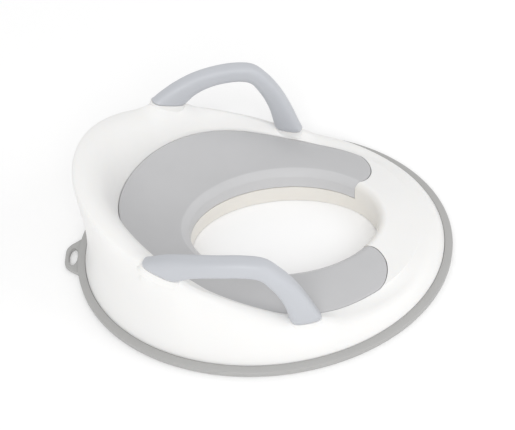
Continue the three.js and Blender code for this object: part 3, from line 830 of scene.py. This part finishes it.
def loop_tab():
    """The hanging loop: a rounded tab with an oval slot and softened edges."""
    root = RIM_OUTER.back - LOOP_OVERLAP
    tip = RIM_OUTER.back + LOOP_REACH
    waist = LOOP_WAIST * LOOP_ROOT
    controls = np.array(((LOOP_ROOT, root), (waist, RIM_OUTER.back), (waist, tip), (LOOP_TIP, tip)))
    outline = mirrored(bezier(controls[:, None, :], LOOP_SIDE_POINTS)[0])
    radius = LOOP_SLOT_DEPTH / 2
    middle = tip - LOOP_END_WALL - radius
    bend = np.linspace(-math.pi / 2, math.pi / 2, LOOP_SLOT_POINTS)
    slot_side = np.stack([LOOP_SLOT_WIDTH / 2 * np.cos(bend), middle + radius * np.sin(bend)], -1)
    slot = mirrored(slot_side)
    turn = np.linspace(math.pi / 2, 0, LOOP_BENDS)
    lower = np.stack([LOOP_SOFTNESS * (1 - np.sin(turn)), LOOP_SOFTNESS * (1 - np.cos(turn))], -1)
    upper = (lower * (-1, 1) + (LOOP_THICKNESS, 0))[::-1]
    levels = [*lower, *upper]
    tab = loft("tab", [raised(inset(outline, amount), z) for z, amount in levels])
    below = (-LOOP_CUT_PAST, LOOP_SOFTNESS)
    above = (LOOP_THICKNESS + LOOP_CUT_PAST, LOOP_SOFTNESS)
    slot_rings = [raised(inset(slot, -amount), z) for z, amount in (below, *levels, above)]
    return combine(tab, [loft("slot", slot_rings)], "DIFFERENCE")


def build_rim():
    """A ring with a sloping top band and an upright side band, and a lip under the shell wall."""
    bends = np.linspace(0, math.pi / 2, RIM_BENDS)
    low_in = RIM_BOTTOM_ROUNDING * (1 - np.sin(bends))
    low_up = RIM_BOTTOM_ROUNDING * (1 - np.cos(bends))
    bottom = [(RIM_OUTER, -inward, up) for inward, up in zip(low_in, low_up)]
    top_in = RIM_EDGE_ROUNDING * (1 - np.cos(bends[:-1]))
    top_down = RIM_EDGE_ROUNDING * (1 - np.sin(bends[:-1]))
    edge = [(RIM_OUTER, -inward, RIM_SIDE_HEIGHT - down) for inward, down in zip(top_in, top_down)]
    band = [(SHELL_FOOT, grow, RIM_TOP - drop) for grow, drop in RIM_TOP_BAND]
    lip = [(SHELL_FOOT, GAP, RIM_LIP_TOP), (SHELL_FOOT, -RIM_LIP, RIM_LIP_TOP)]
    profile = [(SHELL_FOOT, -RIM_LIP, 0), *bottom, *edge, *band, *lip]
    angle = turns(RIM_STATIONS)
    rings = np.stack([raised(oval(shape, angle, grow), z) for shape, grow, z in profile], 1)
    rim = loft("rim_band", rings, looped=True)
    return finish_mesh(combine(rim, [loop_tab()], "UNION"), angle=32)


# ---------------------------------------------------------------- grips and screws


def build_grip(hand, side):
    """A soft grip with rounded ends, hollow for its core."""
    rings = [handle_ring(0, side, GRIP_POINTS, spread=spread, shift=shift)
             for spread, shift in GRIP_END]
    rings += [handle_ring(where, side, GRIP_POINTS)
              for where in np.linspace(0, 1, GRIP_STATIONS)[2:-2]]
    rings += [handle_ring(1, side, GRIP_POINTS, spread=spread, shift=-shift)
              for spread, shift in GRIP_END[::-1]]
    room = core_room(side, stations=48, points=24, grow=GAP)
    return finish_mesh(combine(loft(f"{hand}_grip", rings), [room], "DIFFERENCE"), angle=50)


def build_screw(hand, foot, side):
    """A pan-head screw with a cross recess, head outward from the boss."""
    middle, into, u, v, circle = foot_circle(foot, side, SCREW_POINTS)
    seat = foot.boss + GAP
    profile = []
    for bend in np.linspace(SCREW_HEAD_TOP_ANGLE, math.pi / 2, SCREW_HEAD_BENDS):
        rise = SCREW_HEAD_HEIGHT * math.cos(bend) ** SCREW_HEAD_FLATNESS
        profile.append((SCREW_HEAD_RADIUS * math.sin(bend), seat + rise))
    profile += [(SCREW_HEAD_RADIUS, seat), (SCREW_SHANK_RADIUS, seat)]
    for k in range(THREADS):
        depth = seat - THREAD_START - k * THREAD_PITCH
        profile += [(SCREW_SHANK_RADIUS - THREAD_DEPTH, depth),
                    (SCREW_SHANK_RADIUS, depth - THREAD_PITCH / 2)]
    profile.append((SCREW_TIP_RADIUS, seat - SCREW_LENGTH))
    screw = loft(f"{hand}_{foot.name}_fastener",
                 [middle + into * depth + circle * radius for radius, depth in profile])
    blade_depths = (seat + CROSS_FLOOR, seat + SCREW_HEAD_HEIGHT + 1)
    blades = []
    for long, short in ((u, v), (v, u)):
        corners = np.array([long * i * CROSS_HALF_LENGTH + short * j * CROSS_HALF_WIDTH
                            for i, j in ((1, 1), (-1, 1), (-1, -1), (1, -1))])
        blades.append(loft("blade", [middle + into * depth + corners for depth in blade_depths]))
    return finish_mesh(combine(screw, blades, "DIFFERENCE"), angle=30)


# ---------------------------------------------------------------- materials

WHITE = (0.83, 0.824, 0.812)
INNER_WHITE = (0.82, 0.82, 0.81)
PAD_GREY = (0.495, 0.495, 0.503)
GRIP_GREY = (0.505, 0.52, 0.552)
RIM_GREY = (0.405, 0.403, 0.396)
STEEL = (0.62, 0.63, 0.64)
# Colours painted inside the hole's oval, and the shares of the oval between which each fades out.
# Painted shade on the shell's hole wall, warmed as by light bounced inside the hole.
HOLE_WALL_PAINTED_SHADE = Values(colour=(0.93, 0.905, 0.86), fade=(0.9, 1.0))
# A painted highlight on the cushion's skirt, where it lines the hole.
SKIRT_PAINTED_HIGHLIGHT = Values(colour=(1.12, 1.12, 1.12), fade=(0.985, 1.0))

HAZE_DEPTHS = (0.006, 0.005, 0.004)
SHEEN_ROUGHNESS = 0.5
NOISE_SPAN = (0.25, 0.75)
# Noise scale and detail of the colour's drift and of the gloss, and the gloss's spread.
DRIFT = (22, 3)
GLOSS = (60, 4)
GLOSS_SPREAD = 0.05
FINE_NOISE_SHARE = 0.6
FINE_NOISE_DETAIL = 5
BUMP_HEIGHT = 0.00012
STEEL_NOISE = (900, 6)
STEEL_ROUGHNESS = (0.25, 0.5)
STEEL_BUMP = 0.15
STEEL_BUMP_HEIGHT = 0.0001
FAR_AWAY = 1e3


def new_surface(name):
    """A new material, its node tree and its surface node."""
    material = bpy.data.materials.new(name)
    material.use_nodes = True
    return material, material.node_tree, material.node_tree.nodes["Principled BSDF"]


def fill(tree, node, inputs):
    """Sets a node's inputs to constants, or links them to other nodes' outputs."""
    for key, value in inputs.items():
        if isinstance(value, bpy.types.NodeSocket):
            tree.links.new(value, node.inputs[key])
        else:
            node.inputs[key].default_value = value


def add_node(tree, kind, inputs, output, **settings):
    """A new shader node's output."""
    node = tree.nodes.new(kind)
    for name, value in settings.items():
        setattr(node, name, value)
    fill(tree, node, inputs)
    return node.outputs[output]


def noise(tree, where, scale, detail):
    """Noise from 0 to 1 at a place."""
    inputs = {"Scale": scale, "Detail": detail, "Vector": where}
    return add_node(tree, "ShaderNodeTexNoise", inputs, "Fac")


def ranged(tree, value, span, low=0.0, high=1.0):
    """A value mapped from a span to a range, and kept inside it."""
    inputs = {"From Min": span[0], "From Max": span[1], "To Min": low, "To Max": high, "Value": value}
    return add_node(tree, "ShaderNodeMapRange", inputs, "Result")


def bumped(tree, height, strength, distance):
    """A surface normal bumped by a height."""
    inputs = {"Strength": strength, "Distance": distance, "Height": height}
    return add_node(tree, "ShaderNodeBump", inputs, "Normal")


def paint_hole_light_and_shade(tree, where, colour, painted_light_and_shade):
    """Multiplies a colour by a tint inside the hole's oval: painted shade on the shell's hole wall, a
    painted highlight on the cushion's skirt.
    """
    half = HOLE.half + SEAT_START
    length = (HOLE.back + HOLE.front) / 2 + SEAT_START
    middle = HOLE.centre + (HOLE.back - HOLE.front) / 2 + RIM_MIDDLE_Y
    scaled = add_node(tree, "ShaderNodeMapping", {
        "Location": (0, middle * MM, 0), "Scale": (half * MM, length * MM, FAR_AWAY), "Vector": where,
    }, "Vector", vector_type="TEXTURE")
    reach = add_node(tree, "ShaderNodeVectorMath", {0: scaled}, "Value", operation="LENGTH")
    factor = add_node(tree, "ShaderNodeMix", {
        "A": painted_light_and_shade.colour, "B": (1, 1, 1), "Factor": ranged(tree, reach, painted_light_and_shade.fade),
    }, "Result", data_type="VECTOR")
    return add_node(tree, "ShaderNodeVectorMath", {0: colour, 1: factor}, "Vector", operation="MULTIPLY")


def moulded(name, colour, *, roughness, mottle, grain, grain_size, bump, haze=0.0, sheen=0.0, painted_light_and_shade=None):
    """A moulded surface: faint colour drift, a fine grain, uneven gloss, and any painted light and shade
    given for the hole's oval.
    """
    material, tree, surface = new_surface(name)
    where = tree.nodes.new("ShaderNodeTexCoord").outputs["Object"]
    base = add_node(tree, "ShaderNodeMix", {
        "A": (*[c * (1 - mottle) for c in colour], 1),
        "B": (*[min(c * (1 + mottle), 1) for c in colour], 1),
        "Factor": ranged(tree, noise(tree, where, *DRIFT), NOISE_SPAN),
    }, "Result", data_type="RGBA")
    gloss = ranged(tree, noise(tree, where, *GLOSS), NOISE_SPAN,
                   roughness - GLOSS_SPREAD, roughness + GLOSS_SPREAD)
    cells = add_node(tree, "ShaderNodeTexVoronoi", {"Scale": 1 / grain_size, "Vector": where}, "Distance")
    fine = noise(tree, where, FINE_NOISE_SHARE / grain_size, FINE_NOISE_DETAIL)
    relief = add_node(tree, "ShaderNodeMath", {0: cells, 1: grain, 2: fine}, "Value",
                      operation="MULTIPLY_ADD")
    fill(tree, surface, {
        # Inside the hole's oval the base colour carries the given painted light and shade.
        "Base Color": paint_hole_light_and_shade(tree, where, base, painted_light_and_shade) if painted_light_and_shade else base,
        "Roughness": gloss,
        "Normal": bumped(tree, relief, bump, BUMP_HEIGHT),
        "Subsurface Weight": haze,
        "Subsurface Radius": HAZE_DEPTHS,
        "Subsurface Scale": 1.0,
        "Sheen Weight": sheen,
        "Sheen Roughness": SHEEN_ROUGHNESS,
    })
    return material


def plated_steel():
    """Bright plated steel with fine uneven gloss."""
    material, tree, surface = new_surface("plated_steel")
    where = tree.nodes.new("ShaderNodeTexCoord").outputs["Object"]
    grain = noise(tree, where, *STEEL_NOISE)
    fill(tree, surface, {
        "Base Color": (*STEEL, 1),
        "Metallic": 1.0,
        "Roughness": ranged(tree, grain, (0, 1), *STEEL_ROUGHNESS),
        "Normal": bumped(tree, grain, STEEL_BUMP, STEEL_BUMP_HEIGHT),
    })
    return material


# The shell's hole wall carries painted shade, warmed as by bounced light.
shell_look = moulded("shell_plastic", WHITE, roughness=0.38, mottle=0.008, grain=0.25,
                     grain_size=0.0009, bump=0.12, haze=0.1, painted_light_and_shade=HOLE_WALL_PAINTED_SHADE)
# The cushion's skirt, inside the hole's oval, carries a painted highlight.
pad_look = moulded("cushion_skin", PAD_GREY, roughness=0.55, mottle=0.02, grain=0.8,
                   grain_size=0.0007, bump=0.35, sheen=0.05, painted_light_and_shade=SKIRT_PAINTED_HIGHLIGHT)
grip_look = moulded("grip_rubber", GRIP_GREY, roughness=0.42, mottle=0.015, grain=0.5,
                    grain_size=0.0006, bump=0.2)
rim_look = moulded("rim_rubber", RIM_GREY, roughness=0.58, mottle=0.02, grain=0.7,
                   grain_size=0.0006, bump=0.35)
inner_look = moulded("inner_plastic", INNER_WHITE, roughness=0.5, mottle=0.012, grain=0.4,
                     grain_size=0.001, bump=0.2)
steel_look = plated_steel()


def dress(obj, look):
    """Gives an object one material."""
    obj.data.materials.clear()
    obj.data.materials.append(look)


def fit(obj, body, node, look):
    """Puts a finished piece on its body in place of its CAD node."""
    dress(obj, look)
    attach(obj, body)
    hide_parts(node)
    return obj


# ---------------------------------------------------------------- camera, light and floor, metres

# The viewing angle: beside the seat's left handle, looking down and slightly rolled.
AZIMUTH = math.radians(-87.7)
ELEVATION = math.radians(45.59)
ROLL = math.radians(-6.15)
CAMERA_DISTANCE = 1.09696
CAMERA_TARGET = Vector((0.04368, -0.00189, 0))
SENSOR_WIDTH = 36
LENS = 71.15

STUDIO_GLOW = 0.76
LAMP_TARGET = (0, 0, 0.05)
# Name, place and size in metres, power in watts.
LAMPS = (
    ("beside", (-3.0, 0.0, 2.6), 2.4, 47),
    ("low", (-1.7, -0.3, 0.6), 1.0, 1.2),
    ("front", (-0.4, -1.7, 1.2), 1.4, 6.3),
    ("far", (1.5, 0.2, 1.3), 1.2, 1.9),
    ("behind", (-0.4, 1.7, 1.2), 1.4, 0.9),
)
FLOOR_REACH = 6.0
FLOOR_DROP = 0.0002
FLOOR_WHITE = (0.99, 0.99, 0.99)
FLOOR_ROUGHNESS = 0.9
FLOOR_SHINE = 0.1


def add_object(name, data):
    """A new object in the scene."""
    obj = bpy.data.objects.new(name, data)
    bpy.context.scene.collection.objects.link(obj)
    return obj


def make_camera():
    """The camera, turned about its own viewing line by the roll."""
    across = math.cos(ELEVATION)
    back = Vector((math.sin(AZIMUTH) * across, -math.cos(AZIMUTH) * across, math.sin(ELEVATION)))
    level = Vector((math.cos(AZIMUTH), math.sin(AZIMUTH), 0))
    up = back.cross(level)
    right = level * math.cos(ROLL) + up * math.sin(ROLL)
    top = up * math.cos(ROLL) - level * math.sin(ROLL)
    camera = add_object("camera", bpy.data.cameras.new("camera"))
    turned = Matrix((right, top, back)).transposed().to_4x4()
    camera.matrix_world = Matrix.Translation(CAMERA_TARGET + back * CAMERA_DISTANCE) @ turned
    camera.data.sensor_width = SENSOR_WIDTH
    camera.data.lens = LENS
    bpy.context.scene.camera = camera


def make_light(name, location, size, power):
    """A round soft light aimed at the seat."""
    data = bpy.data.lights.new(name, "AREA")
    data.shape = "DISK"
    data.size = size
    data.energy = power
    light = add_object(name, data)
    light.location = location
    light.rotation_mode = "QUATERNION"
    light.rotation_quaternion = (Vector(LAMP_TARGET) - Vector(location)).to_track_quat("-Z", "Y")


def make_floor():
    """A pale floor right below the seat."""
    corners = [(x * FLOOR_REACH, y * FLOOR_REACH, 0) for x, y in ((-1, -1), (1, -1), (1, 1), (-1, 1))]
    mesh = bpy.data.meshes.new("floor")
    mesh.from_pydata(corners, [], [(0, 1, 2, 3)])
    floor = add_object("floor", mesh)
    floor.location.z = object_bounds()[0].z - FLOOR_DROP
    material, tree, surface = new_surface("floor")
    fill(tree, surface, {
        "Base Color": (*FLOOR_WHITE, 1),
        "Roughness": FLOOR_ROUGHNESS,
        "Specular IOR Level": FLOOR_SHINE,
    })
    mesh.materials.append(material)


def make_world():
    """An even white glow from all round."""
    world = bpy.data.worlds.new("studio")
    bpy.context.scene.world = world
    world.use_nodes = True
    background = world.node_tree.nodes["Background"]
    fill(world.node_tree, background, {"Color": (1, 1, 1, 1), "Strength": STUDIO_GLOW})


# ---------------------------------------------------------------- the scene

bpy.context.scene.view_settings.view_transform = "Standard"
make_camera()
make_world()
for lamp in LAMPS:
    make_light(*lamp)

fit(build_shell(), "seat", "seat_shell", shell_look)
fit(build_rim(), "seat", "rim_seal", rim_look)
seat_pad = fit(build_cushion(), "cushion", "seat_cushion", pad_look)
fit(build_backing(), "cushion", "cushion_backing", inner_look)
for hand, side in SIDES:
    fit(build_grip(hand, side), "seat", f"{hand}_handle_grip", grip_look)
    dress(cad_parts[f"{hand}_handle_core"], inner_look)
    for foot in FEET:
        fit(build_screw(hand, foot, side), "seat", f"{hand}_{foot.name}_screw", steel_look)
make_floor()
